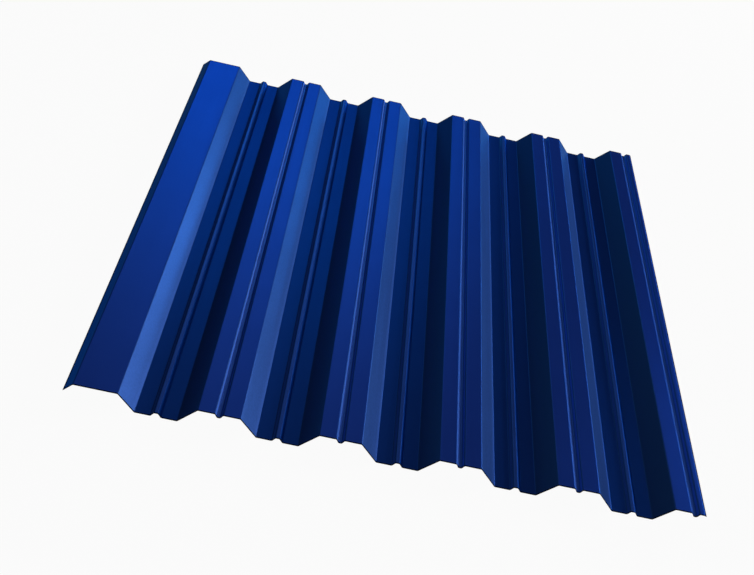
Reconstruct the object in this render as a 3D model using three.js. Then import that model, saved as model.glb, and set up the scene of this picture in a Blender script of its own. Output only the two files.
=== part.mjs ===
// Trapezoidal roll-formed steel sheet for walls, fences and roofs: one strip of coated steel
// with five valleys between six crests, a rib along each valley and a groove along each crest.
// The left edge is the plain lap crest with its turned-down lip, which covers the next sheet's
// grooved edge crest. Sizes are in millimetres. X runs across the waves, Y along the sheet and
// Z up, with the origin under the middle of the sheet at the level that its valleys rest on.
import * as THREE from "three";

// Sheet
const SHEET_LENGTH = 1250; // cut length, along the waves
const STEEL_THICKNESS = 0.7; // steel core with its zinc and paint
const PROFILE_DEPTH = 32; // underside of the valleys to the top of the crests
const VALLEY_COUNT = 5;

// Waves, measured between fold lines
const CREST_WIDTH = 70;
const VALLEY_WIDTH = 70;
const WEB_RUN = 30; // level distance that a sloping web covers
const FOLD_RADIUS = 3; // inside radius of every fold

// Rib that stands up along the middle of each valley
const RIB_HEIGHT = 7;
const RIB_BASE_WIDTH = 17.4;
const RIB_TOP_WIDTH = 6.8;

// Groove sunk along the middle of each crest but the lap crest
const GROOVE_DEPTH = 6.6;
const GROOVE_MOUTH_WIDTH = 13.4;
const GROOVE_FLOOR_WIDTH = 5.6;

// Lap crest and its lip, on the left edge; the lip slopes as the webs do
const LAP_CREST_WIDTH = 72.4;
const LAP_LIP_DROP = 15.6;

// Covered edge, on the right: a narrow flat after the last groove, with its rim bent down
const EDGE_FLAT_WIDTH = 7.4;
const EDGE_RIM_RUN = 3.6;
const EDGE_RIM_DROP = 1.2;

const FOLD_STEPS = 4; // straight steps that make up each rounded fold

// The middle of the steel's thickness is folded first, and its two faces lie half of it away.
const HALF_THICKNESS = STEEL_THICKNESS / 2;
const MIDLINE_RADIUS = FOLD_RADIUS + HALF_THICKNESS;
const MIDLINE_RISE = PROFILE_DEPTH - STEEL_THICKNESS;
const WEB_SLOPE = MIDLINE_RISE / WEB_RUN;

// Fold lines of the cross-section from the left edge to the right one, as (x, z) points.
function foldLines() {
  const points = [new THREE.Vector2(0, 0)];
  const go = (run, rise) => {
    const last = points[points.length - 1];
    points.push(new THREE.Vector2(last.x + run, last.y + rise));
  };
  const stiffener = (mouth, floor, rise) => {
    const flank = (mouth - floor) / 2;
    go(flank, rise);
    go(floor, 0);
    go(flank, -rise);
  };
  const valley = () => {
    const flat = (VALLEY_WIDTH - RIB_BASE_WIDTH) / 2;
    go(flat, 0);
    stiffener(RIB_BASE_WIDTH, RIB_TOP_WIDTH, RIB_HEIGHT);
    go(flat, 0);
  };
  const crestFlat = (CREST_WIDTH - GROOVE_MOUTH_WIDTH) / 2;

  go(LAP_LIP_DROP / WEB_SLOPE, LAP_LIP_DROP);
  go(LAP_CREST_WIDTH, 0);
  for (let wave = 1; wave <= VALLEY_COUNT; wave++) {
    go(WEB_RUN, -MIDLINE_RISE);
    valley();
    go(WEB_RUN, MIDLINE_RISE);
    go(crestFlat, 0);
    stiffener(GROOVE_MOUTH_WIDTH, GROOVE_FLOOR_WIDTH, -GROOVE_DEPTH);
    if (wave < VALLEY_COUNT) go(crestFlat, 0);
  }
  go(EDGE_FLAT_WIDTH, 0);
  go(EDGE_RIM_RUN, -EDGE_RIM_DROP);
  return points;
}

// Points of the folded midline, each with the direction square to the steel on its upper side.
function foldedMidline(corners) {
  const midline = [];
  const upward = (heading) => new THREE.Vector2(-Math.sin(heading), Math.cos(heading));
  const place = (point, heading) => midline.push({ point, normal: upward(heading) });
  const headings = corners.slice(1).map((corner, i) => corner.clone().sub(corners[i]).angle());

  place(corners[0], headings[0]);
  for (let i = 1; i < corners.length - 1; i++) {
    const before = headings[i - 1];
    const turn = Math.atan2(Math.sin(headings[i] - before), Math.cos(headings[i] - before));
    const side = Math.sign(turn); // 1 where the steel folds upwards, -1 where it folds downwards
    const setback = MIDLINE_RADIUS * Math.tan(Math.abs(turn) / 2);
    const forward = new THREE.Vector2(Math.cos(before), Math.sin(before));
    const centre = corners[i]
      .clone()
      .addScaledVector(forward, -setback)
      .addScaledVector(upward(before), side * MIDLINE_RADIUS);
    for (let step = 0; step <= FOLD_STEPS; step++) {
      const heading = before + (turn * step) / FOLD_STEPS;
      const point = centre.clone().addScaledVector(upward(heading), -side * MIDLINE_RADIUS);
      place(point, heading);
    }
  }
  place(corners[corners.length - 1], headings[headings.length - 1]);
  return midline;
}

// The closed outline of the steel: its lower face out and its upper face back.
function crossSection() {
  const midline = foldedMidline(foldLines());
  const face = (side) =>
    midline.map(({ point, normal }) => point.clone().addScaledVector(normal, side * HALF_THICKNESS));
  return new THREE.Shape([...face(-1), ...face(1).reverse()]);
}

function profiledSheet() {
  const geometry = new THREE.ExtrudeGeometry(crossSection(), {
    depth: SHEET_LENGTH,
    bevelEnabled: false,
  });
  geometry.rotateX(Math.PI / 2); // the section stands up in X and Z, and its depth runs along Y
  geometry.computeBoundingBox();
  const { min, max } = geometry.boundingBox;
  geometry.translate(-(min.x + max.x) / 2, -(min.y + max.y) / 2, -min.z);

  const paint = new THREE.MeshStandardMaterial({ color: 0x1a4ba5, roughness: 0.4, metalness: 0 });
  const sheet = new THREE.Mesh(geometry, paint);
  sheet.name = "profiled_sheet";
  return sheet;
}

const part = new THREE.Group();
part.add(profiledSheet());

export default part;
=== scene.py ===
"""Trapezoidal profiled steel sheet: a strip of coil-coated steel, roll-formed into ribbed valleys
and grooved crests, lying on a pale studio floor. Sizes are in metres. X runs across the waves, Y
along the sheet and Z up, with the origin under its middle at the level that the valleys rest on."""

import math
from functools import partial

import bpy
from mathutils import Matrix, Vector


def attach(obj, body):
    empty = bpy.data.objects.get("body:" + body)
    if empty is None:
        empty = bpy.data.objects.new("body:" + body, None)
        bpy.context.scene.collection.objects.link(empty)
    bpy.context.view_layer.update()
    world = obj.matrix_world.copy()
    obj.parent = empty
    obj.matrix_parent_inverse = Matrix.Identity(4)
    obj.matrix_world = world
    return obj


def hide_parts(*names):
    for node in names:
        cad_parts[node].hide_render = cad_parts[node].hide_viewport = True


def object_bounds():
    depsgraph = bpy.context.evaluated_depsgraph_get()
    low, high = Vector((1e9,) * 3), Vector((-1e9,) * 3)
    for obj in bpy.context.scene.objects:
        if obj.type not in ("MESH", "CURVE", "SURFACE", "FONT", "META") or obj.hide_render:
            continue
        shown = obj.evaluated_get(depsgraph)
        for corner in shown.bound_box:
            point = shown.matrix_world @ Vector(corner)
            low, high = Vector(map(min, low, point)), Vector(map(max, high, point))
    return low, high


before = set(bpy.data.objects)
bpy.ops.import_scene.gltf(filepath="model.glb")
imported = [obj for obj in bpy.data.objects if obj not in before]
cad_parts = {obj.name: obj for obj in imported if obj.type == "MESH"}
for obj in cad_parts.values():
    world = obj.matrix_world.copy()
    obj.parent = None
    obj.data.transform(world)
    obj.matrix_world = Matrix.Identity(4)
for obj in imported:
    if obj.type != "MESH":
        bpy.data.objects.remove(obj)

bl_info = {
    "name": "Profiled Steel Sheet",
    "version": (1, 0, 0),
    "blender": (4, 5, 0),
    "location": "View3D > Sidebar > Profiled Sheet",
    "description": "Rolls a coated trapezoidal steel sheet and lights it on a studio floor",
    "category": "Add Mesh",
}

MM = 0.001
CAD_NODE = "profiled_sheet"
CAD_LOW, CAD_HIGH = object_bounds()
CAD_SIZE = CAD_HIGH - CAD_LOW


def linear(hex_colour):
    """An sRGB hex colour as linear red, green and blue."""
    channels = [int(hex_colour[i : i + 2], 16) / 255 for i in (1, 3, 5)]
    return [c / 12.92 if c <= 0.04045 else ((c + 0.055) / 1.055) ** 2.4 for c in channels]


def add_node(tree, kind, inputs=None, **settings):
    """Adds a node and returns its outputs. The settings are the node's own attributes. Each input,
    keyed by its name or number, is a value or the output that feeds it."""
    node = tree.nodes.new(kind)
    for name, value in settings.items():
        setattr(node, name, value)
    for key, value in (inputs or {}).items():
        socket = node.inputs[key]
        if isinstance(value, bpy.types.NodeSocket):
            tree.links.new(value, socket)
        else:
            socket.default_value = value
    return node.outputs


# Sizes and colours ------------------------------------------------------------------------------


def size_setting(name, default, description):
    return bpy.props.FloatProperty(
        name=name, description=description, default=default, min=0, precision=5, unit="LENGTH"
    )


def count_setting(name, default, description):
    return bpy.props.IntProperty(name=name, description=description, default=default, min=1)


def colour_setting(name, hex_colour, description):
    return bpy.props.FloatVectorProperty(
        name=name,
        description=description,
        default=linear(hex_colour),
        subtype="COLOR",
        min=0,
        max=1,
    )


class SheetSizes(bpy.types.PropertyGroup):
    """What the rolls and the shear give the sheet. Widths are measured between fold lines."""

    length: size_setting("Length", CAD_SIZE.y, "Cut length, along the waves")
    depth: size_setting("Depth", CAD_SIZE.z, "Underside of the valleys to the top of the crests")
    thickness: size_setting("Thickness", 0.7 * MM, "Steel with its zinc and paint")
    waves: count_setting("Waves", 5, "Number of valleys across the sheet")
    crest_width: size_setting("Crest Width", 70 * MM, "Top of a wave")
    valley_width: size_setting("Valley Width", 70 * MM, "Bottom of a wave")
    web_run: size_setting("Web Run", 30 * MM, "Level distance that a sloping web covers")
    fold_radius: size_setting("Fold Radius", 3 * MM, "Inside radius of every fold")
    fold_steps: count_setting("Fold Steps", 10, "Straight steps that make up a rounded fold")
    rib_height: size_setting("Rib Height", 7 * MM, "Rise of the rib along a valley")
    rib_base: size_setting("Rib Base", 17.4 * MM, "Width of the rib where it leaves the valley")
    rib_top: size_setting("Rib Top", 6.8 * MM, "Width of the rib's top")
    groove_depth: size_setting("Groove Depth", 6.6 * MM, "Depth of the groove along a crest")
    groove_mouth: size_setting("Groove Mouth", 13.4 * MM, "Width of the groove at the crest")
    groove_floor: size_setting("Groove Floor", 5.6 * MM, "Width of the groove's floor")
    lap_crest: size_setting("Lap Crest", 72.4 * MM, "Width of the plain crest on the left edge")
    lip_drop: size_setting("Lip Drop", 15.6 * MM, "How far the left edge's lip turns down")
    edge_flat: size_setting("Edge Flat", 7.4 * MM, "Flat between the last groove and the rim")
    rim_run: size_setting("Rim Run", 3.6 * MM, "Width of the bent rim on the right edge")
    rim_drop: size_setting("Rim Drop", 1.2 * MM, "How far the right edge's rim bends down")


class SheetColours(bpy.types.PropertyGroup):
    """The colours of the sheet's coats and of its cut edges, with the top coat's painted light and
    shade.
    """

    top_coat: colour_setting("Top Coat", "#2A49AE", "Polyester coat on the weather side")
    # Painted shade: the top coat made darker in the valleys.
    valley_painted_shade: colour_setting("Valley Coat", "#1D3C89", "Top coat where the rolls press on it")
    # Painted light: the top coat made paler where it leans to the right.
    painted_lit_side: colour_setting("Pale Flake", "#3B5EAC", "Top coat where its flake faces the light")
    # Painted shade: the top coat made darker where it leans to the left.
    painted_shaded_side: colour_setting("Dark Flake", "#264B8B", "Top coat where its flake faces away")
    glance: colour_setting("Glance", "#81A0B5", "Tint of the light that glances off the flake")
    back_coat: colour_setting("Back Coat", "#A9AEB0", "Thin epoxy coat on the underside")
    # Its dark colour is partly painted shade; it also paints a dark band of shade on the top coat along
    # the cuts.
    cut_edge: colour_setting("Cut Edge", "#071128", "Sheared edge with the coat drawn over it")


# Rolled sheet -----------------------------------------------------------------------------------

SEGMENT = 50 * MM  # length of the mesh's pieces along the sheet
WELD = 0.001 * MM
SHARP_ANGLE = math.radians(40)  # the folds turn less than this at each of their steps
FOLD_MARK = "fold"  # face attribute: 1 on the rounded folds and 0 on the flats
LEAN_MARK = "lean"  # face attribute: the sine of how far a strip leans to the right
TREE_SOCKETS = {"FLOAT": "NodeSocketFloat", "INT": "NodeSocketInt"}
COATS = ("Top Coat", "Back Coat", "Cut Edge")


def roll_former():
    """The node tree that folds the section from its left edge to its right one and rolls it out."""
    tree = bpy.data.node_groups.new("Roll Former", "GeometryNodeTree")
    for setting in SheetSizes.bl_rna.properties:
        if setting.type in TREE_SOCKETS:
            tree.interface.new_socket(
                setting.name, in_out="INPUT", socket_type=TREE_SOCKETS[setting.type]
            )
    for coat in COATS:
        tree.interface.new_socket(coat, in_out="INPUT", socket_type="NodeSocketMaterial")
    tree.interface.new_socket("Sheet", in_out="OUTPUT", socket_type="NodeSocketGeometry")
    add = partial(add_node, tree)
    given = add("NodeGroupInput")

    def measure(operation, first, second):
        return add("ShaderNodeMath", {0: first, 1: second}, operation=operation)[0]

    def count(operation, first, second):
        return add("FunctionNodeIntegerMath", {0: first, 1: second}, operation=operation)[0]

    def half_left(whole, taken):
        return measure("MULTIPLY", measure("SUBTRACT", whole, taken), 0.5)

    def up(height):
        return measure("MULTIPLY", height, -1)

    def footprints(number, steps):
        """Points that each hold the step (run, drop) to the next point, in turn."""
        points = add("GeometryNodePoints", {"Count": number})[0]
        turn = count("MODULO", add("GeometryNodeInputIndex")[0], len(steps))
        chosen = add("GeometryNodeIndexSwitch", {"Index": turn}, data_type="VECTOR")[0]
        choices = chosen.node.index_switch_items
        while len(choices) < len(steps):
            choices.new()
        for place, (run, drop) in enumerate(steps):
            step = add("ShaderNodeCombineXYZ", {"X": run, "Y": drop})[0]
            tree.links.new(step, chosen.node.inputs[str(place)])
        return add(
            "GeometryNodeStoreNamedAttribute",
            {"Geometry": points, "Name": "step", "Value": chosen},
            data_type="FLOAT_VECTOR",
        )[0]

    def mark(mesh, name, value):
        return add(
            "GeometryNodeStoreNamedAttribute",
            {"Geometry": mesh, "Name": name, "Value": value},
            data_type="FLOAT",
            domain="FACE",
        )[0]

    def join(*parts):
        joined = add("GeometryNodeJoinGeometry")[0]
        for part in reversed(parts):
            tree.links.new(part, joined.node.inputs[0])
        return joined

    # The middle of the steel's thickness is folded first, in a plane whose Y points down.
    drop = measure("SUBTRACT", given["Depth"], given["Thickness"])
    steepness = measure("DIVIDE", drop, given["Web Run"])
    lip = (measure("DIVIDE", given["Lip Drop"], steepness), up(given["Lip Drop"]))
    rim = (given["Rim Run"], given["Rim Drop"])
    valley_flat = half_left(given["Valley Width"], given["Rib Base"])
    rib_flank = half_left(given["Rib Base"], given["Rib Top"])
    crest_flat = half_left(given["Crest Width"], given["Groove Mouth"])
    groove_flank = half_left(given["Groove Mouth"], given["Groove Floor"])
    wave = [
        (given["Web Run"], drop),
        (valley_flat, 0),
        (rib_flank, up(given["Rib Height"])),
        (given["Rib Top"], 0),
        (rib_flank, given["Rib Height"]),
        (valley_flat, 0),
        (given["Web Run"], up(drop)),
        (crest_flat, 0),
        (groove_flank, given["Groove Depth"]),
        (given["Groove Floor"], 0),
        (groove_flank, up(given["Groove Depth"])),
        (crest_flat, 0),
    ]
    # The edge flat stands in for the last wave's last step, so the waves are one point short.
    wave_points = count("SUBTRACT", count("MULTIPLY", given["Waves"], len(wave)), 1)
    walk = join(
        footprints(2, [lip, (given["Lap Crest"], 0)]),
        footprints(wave_points, wave),
        footprints(3, [(given["Edge Flat"], 0), rim, (0, 0)]),
    )
    step = add("GeometryNodeInputNamedAttribute", {"Name": "step"}, data_type="FLOAT_VECTOR")[0]
    walked = add("GeometryNodeAccumulateField", {0: step}, data_type="FLOAT_VECTOR")["Trailing"]
    corners = add("GeometryNodeSetPosition", {"Geometry": walk, "Position": walked})[0]
    fold_lines = add("GeometryNodePointsToCurves", {"Points": corners})[0]
    half_thickness = measure("MULTIPLY", given["Thickness"], 0.5)
    section = add(
        "GeometryNodeFilletCurve",
        {
            "Curve": fold_lines,
            "Count": given["Fold Steps"],
            "Radius": measure("ADD", given["Fold Radius"], half_thickness),
        },
        mode="POLY",
    )[0]

    # The section is drawn along the sheet, as strips that are numbered from the left edge to the
    # right one. Strip 0 is the lip, and after it each fold's strips are followed by a flat one.
    far_end = add("ShaderNodeCombineXYZ", {"Y": given["Length"]})[0]
    line = add("GeometryNodeCurvePrimitiveLine", {"End": far_end})[0]
    path = add("GeometryNodeResampleCurve", {"Curve": line, "Length": SEGMENT}, mode="LENGTH")[0]
    drawn = add("GeometryNodeCurveToMesh", {"Curve": path, "Profile Curve": section})[0]
    ends = add("GeometryNodeAttributeDomainSize", {0: section}, component="CURVE")["Point Count"]
    strip = count("MODULO", add("GeometryNodeInputIndex")[0], count("SUBTRACT", ends, 1))
    fold_and_flat = count("ADD", given["Fold Steps"], 1)
    fold_strip = count("FLOORED_MODULO", count("SUBTRACT", strip, 1), fold_and_flat)
    normal = add("GeometryNodeInputNormal")[0]
    folds_marked = mark(drawn, FOLD_MARK, measure("LESS_THAN", fold_strip, given["Fold Steps"]))
    middle = mark(folds_marked, LEAN_MARK, add("ShaderNodeSeparateXYZ", {0: normal})["X"])

    # The steel's lower face lies half its thickness below the middle, and its upper one is raised
    # from a copy of that.
    below = add(
        "ShaderNodeVectorMath", {0: normal, "Scale": up(half_thickness)}, operation="SCALE"
    )[0]
    lower = add("GeometryNodeSetPosition", {"Geometry": middle, "Offset": below})[0]
    raised = add(
        "GeometryNodeExtrudeMesh",
        {"Mesh": lower, "Offset Scale": given["Thickness"], "Individual": False},
    )
    faced_down = add("GeometryNodeFlipFaces", {"Mesh": lower})[0]
    steel = join(faced_down, raised["Mesh"])
    welded = add("GeometryNodeMergeByDistance", {"Geometry": steel, "Distance": WELD})[0]
    bend = add("GeometryNodeInputMeshEdgeAngle")["Unsigned Angle"]
    creased = add(
        "GeometryNodeSetShadeSmooth",
        {
            "Geometry": welded,
            "Selection": measure("GREATER_THAN", bend, SHARP_ANGLE),
            "Shade Smooth": False,
        },
        domain="EDGE",
    )[0]

    # The origin goes under the middle of the sheet, at the lowest level.
    reach = add("GeometryNodeBoundBox", {"Geometry": creased})
    low = add("ShaderNodeSeparateXYZ", {0: reach["Min"]})
    high = add("ShaderNodeSeparateXYZ", {0: reach["Max"]})
    move = {axis: measure("MULTIPLY", measure("ADD", low[axis], high[axis]), -0.5) for axis in "XY"}
    move["Z"] = up(low["Z"])
    shift = add("ShaderNodeCombineXYZ", move)[0]
    placed = add("GeometryNodeSetPosition", {"Geometry": creased, "Offset": shift})[0]
    sheet = add("GeometryNodeRealizeInstances", {"Geometry": placed})[0]
    # The back coat goes on everything first, and the others cover it.
    painted = {"Back Coat": True, "Top Coat": raised["Top"], "Cut Edge": raised["Side"]}
    for coat, faces in painted.items():
        sheet = add(
            "GeometryNodeSetMaterial",
            {"Geometry": sheet, "Selection": faces, "Material": given[coat]},
        )[0]
    add("NodeGroupOutput", {"Sheet": sheet})
    return tree


def roll_sheet(sizes, coats):
    """The sheet as a plain mesh object, made by the roll former."""
    former = roll_former()
    sheet = bpy.data.objects.new("rolled_steel_sheet", bpy.data.meshes.new("rolled_steel_sheet"))
    bpy.context.scene.collection.objects.link(sheet)
    rolling = sheet.modifiers.new("Roll Former", "NODES")
    rolling.node_group = former
    sockets = former.interface.items_tree
    for setting in SheetSizes.bl_rna.properties:
        if setting.type in TREE_SOCKETS:
            rolling[sockets[setting.name].identifier] = getattr(sizes, setting.identifier)
    for name, material in coats.items():
        rolling[sockets[name].identifier] = material
    flattening = sheet.modifiers.new("Even Flats", "WEIGHTED_NORMAL")
    flattening.keep_sharp = True
    evaluated = sheet.evaluated_get(bpy.context.evaluated_depsgraph_get())
    sheet.data = bpy.data.meshes.new_from_object(evaluated)
    sheet.modifiers.clear()
    return sheet


# Finishes ---------------------------------------------------------------------------------------


def new_finish(name):
    """An empty material and the function that adds nodes to it."""
    finish = bpy.data.materials.new(name)
    finish.use_nodes = True
    finish.node_tree.nodes.clear()
    return finish, partial(add_node, finish.node_tree)


def ramp(add, value, low, high, start=0, end=1, **settings):
    """The value's run from low to high as one from start to end, held at those beyond it."""
    return add(
        "ShaderNodeMapRange",
        {"Value": value, "From Min": low, "From Max": high, "To Min": start, "To Max": end},
        **settings,
    )[0]


def calculate(add, operation, *values):
    """One step of arithmetic, on numbers or on what other nodes give."""
    return add("ShaderNodeMath", dict(enumerate(values)), operation=operation)[0]


def spots(add, place, size, detail):
    """Soft random spots of that size, from 0 to 1."""
    return add("ShaderNodeTexNoise", {"Vector": place, "Scale": 1 / size, "Detail": detail})[0]


def drawn_lines(add, place, width, length, detail):
    """Random lines of that width and length that run along the sheet, from 0 to 1."""
    drawn = add("ShaderNodeMapping", {"Vector": place, "Scale": (1 / width, 1 / length, 1)})[0]
    return spots(add, drawn, 1, detail)


def brighten(add, shade, amount):
    return add("ShaderNodeHueSaturation", {"Color": shade, "Value": amount})[0]


# Marks in the top coat, and the reach of the painted shade along its cuts.
CLOUD_SIZE = 90 * MM  # a hand wide, as the coater's web tension leaves them
ROLL_LINE = (3 * MM, 500 * MM)  # width and length
PEEL_SIZE = 4 * MM  # orange peel: really about 1.5 mm from hump to hump, drawn to show
PEEL_DEPTH = 0.04 * MM
LIT_SIDE_GRAIN = 2.5  # times as deep where the painted lit side shows
CLOUD_VALUES = (0.94, 1.06)
SPARKLE_VALUES = (0.93, 1.07)
CUT_REACH = 2.4 * MM  # how far in from a cut the painted shade reaches
CUT_FADE = 0.4 * MM

# The top coat's gloss.
COAT_METALLIC = 0.6
ROLL_ROUGHNESS = (0.3, 0.4)  # between the rolls' lines and on them
FOLD_ROUGHNESS = 0.1  # rougher on the folds
PRESSED_ROUGHNESS = 0.03  # rougher where the rolls press
HIGHLIGHT_ROUGHNESS = 0.2  # rougher for each 1 that the painted highlights make it paler

# How much brighter the painted highlights and painted light make the coat, against its usual brightness
# of 1.
FLANK_HIGHLIGHT = 1.3  # painted highlight on the flanks of ribs and grooves that lean to the right
CROWN_HIGHLIGHT = 0.4  # painted highlight where a rib's top turns down to the right
FOOT_HIGHLIGHT = 0.35  # painted highlight at the bottom of the webs
LEFT_FLANK_LIGHT = 2.0  # painted light: times as bright on the flanks of ribs and grooves that lean to the left
RIB_PURITY = 0.06  # painted: purer in colour on a rib's right flank, against the tint of the light it reflects

# Share of the painted lit side's colour on the ribs and the groove floors.
RIB_LIT_SHARE = 0.4
GROOVE_LIT_SHARE = 0.6

# Distances at which the painted light and shade of ribs and grooves end, from their middles.
RIB_REACH = 13 * MM
GROOVE_REACH = 9 * MM
REACH_FADE = 1 * MM

# Heights between which the painted light and shade come in, and the valleys' duller gloss.
RIB_HEIGHTS = (3 * MM, 6 * MM)
GROOVE_HEIGHTS = (30 * MM, 27 * MM)
CREST_HEIGHTS = (20 * MM, 24 * MM)
VALLEY_HEIGHTS = (12 * MM, 2 * MM)
FOOT_HEIGHTS = (6 * MM, 1 * MM)

# Sines of the lean between which the painted light and shade come in. The webs lean by 0.72, the ribs'
# flanks by 0.8 and the grooves' flanks by 0.86.
WEB_LEANS = (0.35, 0.65)
GROOVE_LEANS = (0.1, 0.5)
AWAY_LEANS = (-0.1, -0.6)
TURNING_LEANS = (0.05, 0.3)
FLANK_LEANS = (0.76, 0.84)
LEFT_FLANK_LEANS = (-0.75, -0.79)
PURE_LEANS = (0.3, 0.6)


def polyester_coat(sizes, colours):
    """Polyester coil coating, 25 micrometres rolled on and baked before the strip is formed: a
    semi-gloss blue with a fine orange peel and the rolls' faint lines along the sheet. Its colour
    holds painted light and shade: it is paler where it leans to the right, with painted highlights
    on the flanks and arcs that lean that way and at the bottom of the webs, darker where it leans
    to the left but brighter on the flanks that lean that way, and darker in the valleys. It is
    also grainier where it leans to the right and duller in the valleys. The flake that lies over
    to one side and the scuffs of the rolls, which the names here give as the causes, are a guess.
    A dark band of painted shade runs along the cuts."""
    finish, add = new_finish("Polyester Coil Coat")

    def both(first, second):
        return calculate(add, "MULTIPLY", first, second)

    def either(first, second):
        return calculate(add, "MAXIMUM", first, second)

    def mix(factor, *shades):
        return add("ShaderNodeMix", {"Factor": factor, 6: shades[0], 7: shades[1]}, data_type="RGBA")[2]

    def near_cut(position, edge):
        distance = calculate(add, "ABSOLUTE", position)
        return ramp(add, distance, edge - CUT_REACH, edge - CUT_REACH + CUT_FADE)

    place = add("ShaderNodeTexCoord")["Object"]
    across, along, height = add("ShaderNodeSeparateXYZ", {0: place})
    fold = add("ShaderNodeAttribute", attribute_name=FOLD_MARK)["Fac"]
    lean = add("ShaderNodeAttribute", attribute_name=LEAN_MARK)["Fac"]
    clouds = spots(add, place, CLOUD_SIZE, 3)
    lines = drawn_lines(add, place, *ROLL_LINE, 2)
    peel = spots(add, place, PEEL_SIZE, 1)

    # Distance across from the nearest groove's middle, which is half a wave at a rib's middle.
    half_wave = sizes.web_run + (sizes.crest_width + sizes.valley_width) / 2
    last_groove = CAD_HIGH.x - sizes.rim_run - sizes.edge_flat - sizes.groove_mouth / 2
    offset = calculate(add, "SUBTRACT", across, last_groove)
    from_groove = calculate(add, "PINGPONG", offset, half_wave)
    rib_edge = half_wave - RIB_REACH
    on_rib = ramp(add, from_groove, rib_edge, rib_edge + REACH_FADE)
    off_rib = ramp(add, from_groove, rib_edge + REACH_FADE, rib_edge)
    in_groove = ramp(add, from_groove, GROOVE_REACH, GROOVE_REACH - REACH_FADE)
    rib = both(on_rib, ramp(add, height, *RIB_HEIGHTS))
    groove_floor = both(in_groove, ramp(add, height, *GROOVE_HEIGHTS))
    crest = ramp(add, height, *CREST_HEIGHTS)
    in_valley = ramp(add, height, *VALLEY_HEIGHTS, interpolation_type="SMOOTHSTEP")

    # Painted light: flake marks where the lit side's colour goes, on what leans to the right, on the
    # ribs and in the groove floors.
    web = both(off_rib, ramp(add, lean, *WEB_LEANS))
    groove_flank = both(crest, ramp(add, lean, *GROOVE_LEANS))
    lit_on_level = either(both(rib, RIB_LIT_SHARE), both(groove_floor, GROOVE_LIT_SHARE))
    flake = either(either(web, groove_flank), lit_on_level)
    # Painted shade: what leans to the left takes the shaded side's colour.
    away = ramp(add, lean, *AWAY_LEANS)
    # Painted highlights on the arcs where groove floors and rib tops turn, and on the flanks that lean
    # to the right.
    turning_highlight = either(
        both(groove_floor, ramp(add, lean, *TURNING_LEANS, 0, FLANK_HIGHLIGHT)),
        both(rib, ramp(add, lean, *TURNING_LEANS, 0, CROWN_HIGHLIGHT)),
    )
    painted_highlight = either(turning_highlight, ramp(add, lean, *FLANK_LEANS, 0, FLANK_HIGHLIGHT))
    # Painted light on the flanks that lean to the left.
    left_flank_light = ramp(add, lean, *LEFT_FLANK_LEANS, 1, LEFT_FLANK_LIGHT)
    # A painted highlight at the bottom of the webs.
    foot_highlight = ramp(add, height, *FOOT_HEIGHTS, 0, FOOT_HIGHLIGHT)
    value = ramp(add, clouds, 0, 1, *CLOUD_VALUES)
    sparkle = ramp(add, peel, 0.3, 0.7, *SPARKLE_VALUES)

    # Painted shade: the valleys take the darker valley colour.
    level = mix(in_valley, (*colours.top_coat, 1), (*colours.valley_painted_shade, 1))
    turned = mix(
        away,
        brighten(add, level, calculate(add, "ADD", value, painted_highlight)),
        brighten(add, (*colours.painted_shaded_side, 1), left_flank_light),
    )
    paler = calculate(add, "ADD", painted_highlight, foot_highlight)
    facing = calculate(add, "MULTIPLY_ADD", value, sparkle, paler)
    shown = both(flake, calculate(add, "SUBTRACT", 1, away))
    coat = mix(shown, turned, brighten(add, (*colours.painted_lit_side, 1), facing))
    # Painted: a purer blue on the ribs' right flanks, against the tint of the light they reflect.
    purity = ramp(add, lean, *PURE_LEANS, 0, RIB_PURITY)
    pure = calculate(add, "MULTIPLY_ADD", on_rib, purity, 1)
    coat = add("ShaderNodeHueSaturation", {"Color": coat, "Saturation": pure})[0]
    # Painted shade: a dark band in the cut edge's colour along the cuts.
    cut = either(near_cut(across, CAD_HIGH.x), near_cut(along, CAD_HIGH.y))
    shade = mix(cut, coat, (*colours.cut_edge, 1))

    gloss = ramp(add, lines, 0, 1, *ROLL_ROUGHNESS)
    folded = calculate(add, "MULTIPLY_ADD", fold, FOLD_ROUGHNESS, gloss)
    rougher = calculate(add, "MULTIPLY_ADD", painted_highlight, HIGHLIGHT_ROUGHNESS, folded)
    dulled = calculate(add, "MULTIPLY_ADD", in_valley, PRESSED_ROUGHNESS, rougher)
    grain = ramp(add, flake, 0, 1, 1, LIT_SIDE_GRAIN)
    relief = calculate(add, "MULTIPLY_ADD", lines, 0.5, both(peel, grain))
    bump = add("ShaderNodeBump", {"Height": relief, "Distance": PEEL_DEPTH, "Strength": 1})[0]
    paint = add(
        "ShaderNodeBsdfPrincipled",
        {
            "Base Color": shade,
            "Metallic": COAT_METALLIC,
            "Roughness": dulled,
            "Specular IOR Level": 0,
            "Specular Tint": (*colours.glance, 1),
            "Normal": bump,
        },
    )[0]
    add("ShaderNodeOutputMaterial", {"Surface": paint})
    return finish


BACK_LINE = (4 * MM, 300 * MM)  # width and length of the coating roller's lines
BACK_CLOUD_SIZE = 120 * MM
BACK_LINE_DEPTH = 0.02 * MM


def epoxy_coat(colour):
    """Epoxy backing coat, 7 micrometres on the side that faces the building: a thin, matt grey
    that lets the roller's lines show."""
    finish, add = new_finish("Epoxy Backing Coat")
    place = add("ShaderNodeTexCoord")["Object"]
    lines = drawn_lines(add, place, *BACK_LINE, 3)
    mottle = calculate(add, "ADD", lines, spots(add, place, BACK_CLOUD_SIZE, 2))
    shade = brighten(add, (*colour, 1), ramp(add, mottle, 0, 2, 0.86, 1.14))
    gloss = ramp(add, lines, 0, 1, 0.5, 0.65)
    bump = add("ShaderNodeBump", {"Height": lines, "Distance": BACK_LINE_DEPTH, "Strength": 0.4})[0]
    paint = add(
        "ShaderNodeBsdfPrincipled",
        {"Base Color": shade, "Roughness": gloss, "IOR": 1.5, "Normal": bump},
    )[0]
    add("ShaderNodeOutputMaterial", {"Surface": paint})
    return finish


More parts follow.
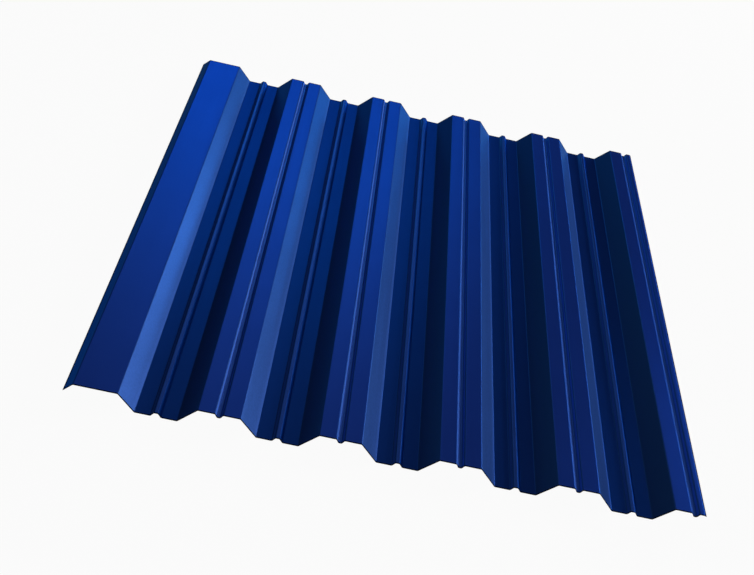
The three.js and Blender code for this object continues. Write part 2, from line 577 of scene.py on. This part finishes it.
SHEAR_MARK_SIZE = 2 * MM  # really tenths of a millimetre apart, drawn to show
SHEAR_MARK_DEPTH = 0.05 * MM


def sheared_edge(colour):
    """Edge left by the shear and the slitter: the blade draws the coat down over the steel, and the
    edge's dark colour is partly painted shade. It is rough, with marks across its thickness."""
    finish, add = new_finish("Sheared Steel Edge")
    marks = spots(add, add("ShaderNodeTexCoord")["Object"], SHEAR_MARK_SIZE, 2)
    shade = brighten(add, (*colour, 1), ramp(add, marks, 0, 1, 0.7, 1.3))
    gloss = ramp(add, marks, 0, 1, 0.6, 0.8)
    bump = add("ShaderNodeBump", {"Height": marks, "Distance": SHEAR_MARK_DEPTH, "Strength": 0.6})[0]
    paint = add(
        "ShaderNodeBsdfPrincipled",
        {"Base Color": shade, "Roughness": gloss, "Specular IOR Level": 0.1, "Normal": bump},
    )[0]
    add("ShaderNodeOutputMaterial", {"Surface": paint})
    return finish


# Studio -----------------------------------------------------------------------------------------

FLOOR_RADIUS = 50.0
COVE_RADIUS = 10.0  # the floor bends up into the backdrop
BACKDROP_HEIGHT = 16.0
FADE_HEIGHT = 4.0  # where the backdrop is down to its dim grey
BACKDROP_GLOW = 0.2
COVE_STEPS = 12
TURN_STEPS = 96

CAMERA_LENS = 59.74  # millimetres, on a sensor of Blender's usual 36 mm
CAMERA_TARGET = Vector((-49.3, -129.0, 0)) * MM
CAMERA_DISTANCE = 2.451
CAMERA_HEADING = math.radians(4.59)  # from +Y towards +X
CAMERA_TILT = math.radians(34.28)  # down
CAMERA_ROLL = math.radians(14.79)

# Each softbox by where it stands, seen from the sheet's middle, its size and its power.
LAMPS = {
    # name: (degrees from +Y towards +X, degrees up, metres away, metres wide and tall, watts)
    "rear_softbox": (3, 28, 6.0, 1.0, 1.0, 11),
    "rear_left_softbox": (-5, 28, 6.0, 1.0, 1.0, 8),
    "low_left_softbox": (-13, 22, 6.0, 1.0, 1.0, 14),
    "high_left_softbox": (-13, 34, 6.0, 1.0, 1.0, 3.5),
    "low_rear_softbox": (33, 10, 6.0, 1.0, 1.0, 30),
    "near_corner_softbox": (45, 30, 3.2, 0.8, 0.8, 5),
    "side_softbox": (60, 18, 6.0, 1.6, 1.0, 110),
    "overhead_softbox": (0, 90, 3.0, 2.0, 2.0, 5.5),
    "front_softbox": (180, 35, 6.0, 2.0, 2.0, 22),
}


class StudioSettings(bpy.types.PropertyGroup):
    """How bright and how coloured the studio is."""

    floor: colour_setting("Floor", "#E6E6E6", "Painted floor and backdrop")
    floor_glow: bpy.props.FloatProperty(
        name="Floor Glow",
        description="Share of the floor's look that no shadow darkens",
        default=0.95,
        min=0,
        max=1,
        subtype="FACTOR",
    )
    surroundings: colour_setting("Surroundings", "#303030", "Dim room above the backdrop")
    lamp_power: bpy.props.FloatProperty(
        name="Lamp Power",
        description="Brightness of all the softboxes, against their usual powers",
        default=1,
        min=0,
        subtype="FACTOR",
    )


def studio_paint(colour, glow):
    """Matt studio paint. What looks straight at it, or mirrors it, sees it almost evenly lit on the
    floor, and fading to a dim grey up the backdrop."""
    finish, add = new_finish("Studio Paint")
    height = add("ShaderNodeSeparateXYZ", {0: add("ShaderNodeTexCoord")["Object"]})["Z"]
    even = ramp(add, height, 0, FADE_HEIGHT, glow, BACKDROP_GLOW)
    seen = add("ShaderNodeLightPath")
    direct = calculate(add, "MAXIMUM", seen["Is Camera Ray"], seen["Is Glossy Ray"])
    looked_at = calculate(add, "MAXIMUM", direct, seen["Is Transmission Ray"])
    share = calculate(add, "MULTIPLY", looked_at, even)
    paint = add("ShaderNodeBsdfDiffuse", {"Color": (*colour, 1)})[0]
    white = add("ShaderNodeEmission", {"Color": (1, 1, 1, 1), "Strength": 1})[0]
    mixed = add("ShaderNodeMixShader", {0: share, 1: paint, 2: white})[0]
    add("ShaderNodeOutputMaterial", {"Surface": mixed})
    return finish


def build_floor(paint):
    """A round floor that bends up into a backdrop all round, as one smooth surface."""
    profile = [(0, 0), (FLOOR_RADIUS, 0)]
    for step in range(1, COVE_STEPS + 1):
        angle = math.pi / 2 * step / COVE_STEPS
        run = FLOOR_RADIUS + COVE_RADIUS * math.sin(angle)
        profile.append((run, COVE_RADIUS * (1 - math.cos(angle))))
    profile.append((FLOOR_RADIUS + COVE_RADIUS, BACKDROP_HEIGHT))
    vertices = [(0, 0, 0)]
    for run, height in profile[1:]:
        for step in range(TURN_STEPS):
            angle = 2 * math.pi * step / TURN_STEPS
            vertices.append((run * math.cos(angle), run * math.sin(angle), height))
    faces = []
    for step in range(TURN_STEPS):
        after = (step + 1) % TURN_STEPS
        faces.append((0, 1 + step, 1 + after))
        for ring in range(len(profile) - 2):
            inner = 1 + ring * TURN_STEPS
            outer = inner + TURN_STEPS
            faces.append((inner + step, outer + step, outer + after, inner + after))
    mesh = bpy.data.meshes.new("studio_floor")
    mesh.from_pydata(vertices, [], faces)
    mesh.shade_smooth()
    mesh.materials.append(paint)
    floor = bpy.data.objects.new("studio_floor", mesh)
    bpy.context.scene.collection.objects.link(floor)
    return floor


def looking(target, heading, tilt, distance, roll=0.0):
    """The placement of a camera or lamp that looks at the target from behind that heading."""
    return (
        Matrix.Translation(target)
        @ Matrix.Rotation(-heading, 4, "Z")
        @ Matrix.Rotation(math.pi / 2 - tilt, 4, "X")
        @ Matrix.Rotation(roll, 4, "Z")
        @ Matrix.Translation((0, 0, distance))
    )


def hang_lamps(power):
    for name, (bearing, height, distance, width, tall, watts) in LAMPS.items():
        light = bpy.data.lights.new(name, "AREA")
        light.shape = "RECTANGLE"
        light.size = width
        light.size_y = tall
        light.energy = watts * power
        lamp = bpy.data.objects.new(name, light)
        heading = math.radians(bearing + 180)
        lamp.matrix_world = looking(Vector(), heading, math.radians(height), distance)
        lamp.visible_camera = False
        bpy.context.scene.collection.objects.link(lamp)


def dim_room(colour):
    world = bpy.data.worlds.new("Studio Room")
    world.use_nodes = True
    world.node_tree.nodes["Background"].inputs["Color"].default_value = (*colour, 1)
    bpy.context.scene.world = world


def place_camera():
    camera = bpy.data.objects.new("camera", bpy.data.cameras.new("camera"))
    camera.data.lens = CAMERA_LENS
    camera.matrix_world = looking(
        CAMERA_TARGET, CAMERA_HEADING, CAMERA_TILT, CAMERA_DISTANCE, CAMERA_ROLL
    )
    bpy.context.scene.collection.objects.link(camera)
    bpy.context.scene.camera = camera


# Add-on -----------------------------------------------------------------------------------------


class SHEET_OT_roll(bpy.types.Operator):
    """Roll the coated steel sheet and put it in place of its plain model"""

    bl_idname = "profiled_sheet.roll"
    bl_label = "Roll Sheet"

    def execute(self, context):
        sizes = context.scene.sheet_sizes
        colours = context.scene.sheet_colours
        coats = {
            "Top Coat": polyester_coat(sizes, colours),
            "Back Coat": epoxy_coat(colours.back_coat),
            "Cut Edge": sheared_edge(colours.cut_edge),
        }
        sheet = roll_sheet(sizes, coats)
        if not sheet.data.polygons:
            raise RuntimeError("the roll former made no sheet")
        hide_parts(CAD_NODE)
        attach(sheet, "root")
        return {"FINISHED"}


class SHEET_OT_studio(bpy.types.Operator):
    """Lay the pale floor, hang the softboxes and place the camera"""

    bl_idname = "profiled_sheet.studio"
    bl_label = "Set Up Studio"

    def execute(self, context):
        studio = context.scene.studio_settings
        build_floor(studio_paint(studio.floor, studio.floor_glow))
        hang_lamps(studio.lamp_power)
        dim_room(studio.surroundings)
        place_camera()
        context.scene.view_settings.view_transform = "Standard"
        return {"FINISHED"}


class SHEET_PT_panel(bpy.types.Panel):
    """The sheet's sizes and colours, and the studio's, with a button for each step"""

    bl_idname = "SHEET_PT_panel"
    bl_label = "Profiled Sheet"
    bl_space_type = "VIEW_3D"
    bl_region_type = "UI"
    bl_category = "Profiled Sheet"

    def draw(self, context):
        scene = context.scene
        for settings, operator in (
            ((scene.sheet_sizes, scene.sheet_colours), SHEET_OT_roll),
            ((scene.studio_settings,), SHEET_OT_studio),
        ):
            box = self.layout.box()
            for group in settings:
                for setting in group.bl_rna.properties:
                    if setting.identifier not in ("rna_type", "name"):
                        box.prop(group, setting.identifier)
            box.operator(operator.bl_idname)


SETTINGS = {
    "sheet_sizes": SheetSizes,
    "sheet_colours": SheetColours,
    "studio_settings": StudioSettings,
}
CLASSES = (*SETTINGS.values(), SHEET_OT_roll, SHEET_OT_studio, SHEET_PT_panel)


def register():
    for cls in CLASSES:
        bpy.utils.register_class(cls)
    for name, group in SETTINGS.items():
        setattr(bpy.types.Scene, name, bpy.props.PointerProperty(type=group))


def unregister():
    for name in SETTINGS:
        delattr(bpy.types.Scene, name)
    for cls in reversed(CLASSES):
        bpy.utils.unregister_class(cls)


def main():
    register()
    bpy.ops.profiled_sheet.roll()
    bpy.ops.profiled_sheet.studio()


if __name__ == "__main__":
    main()
